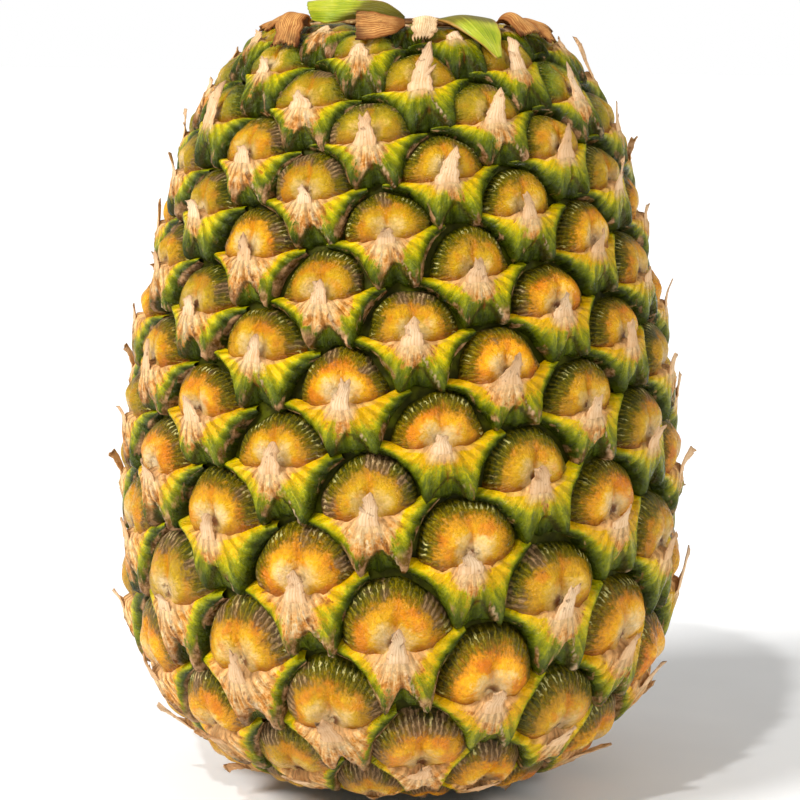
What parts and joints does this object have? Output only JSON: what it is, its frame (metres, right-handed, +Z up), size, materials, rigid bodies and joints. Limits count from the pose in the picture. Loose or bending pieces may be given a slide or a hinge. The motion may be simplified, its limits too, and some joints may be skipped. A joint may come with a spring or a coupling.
{
  "type": "pineapple",
  "caption": "Whole pineapple with its crown broken off: a barrel-shaped fruit covered in spiralling eyes, with short torn leaf bases round the top.",
  "frame": {"origin": "middle of the flat stalk scar that the fruit rests on", "axes": "+Z up along the core of the fruit to the crown stump, -Y the side seen in the picture, +X to its right, so X and Y lie in the plane of the scar"},
  "size_m": [0.1316, 0.1297, 0.1753],
  "materials": {
    "rind": "waxy green and golden eyes with dry tan tips",
    "core": "torn dry fibre",
    "leaf_green": "smooth green leaf base",
    "leaf_dry": "papery dry leaf base"
  },
  "bodies": {
    "root": {"fruit": "rind", "crown_stump": "core", "leaf_01": "leaf_green", "leaf_02": "leaf_dry", "leaf_03": "leaf_dry", "leaf_04": "leaf_dry", "leaf_05": "leaf_green", "leaf_06": "leaf_dry", "leaf_07": "leaf_dry", "leaf_08": "leaf_dry", "leaf_09": "leaf_dry", "leaf_10": "leaf_green", "leaf_11": "leaf_dry", "leaf_12": "leaf_dry", "leaf_13": "leaf_dry", "leaf_14": "leaf_green", "leaf_15": "leaf_dry", "leaf_16": "leaf_dry", "leaf_17": "leaf_dry"}
  },
  "joints": []
}
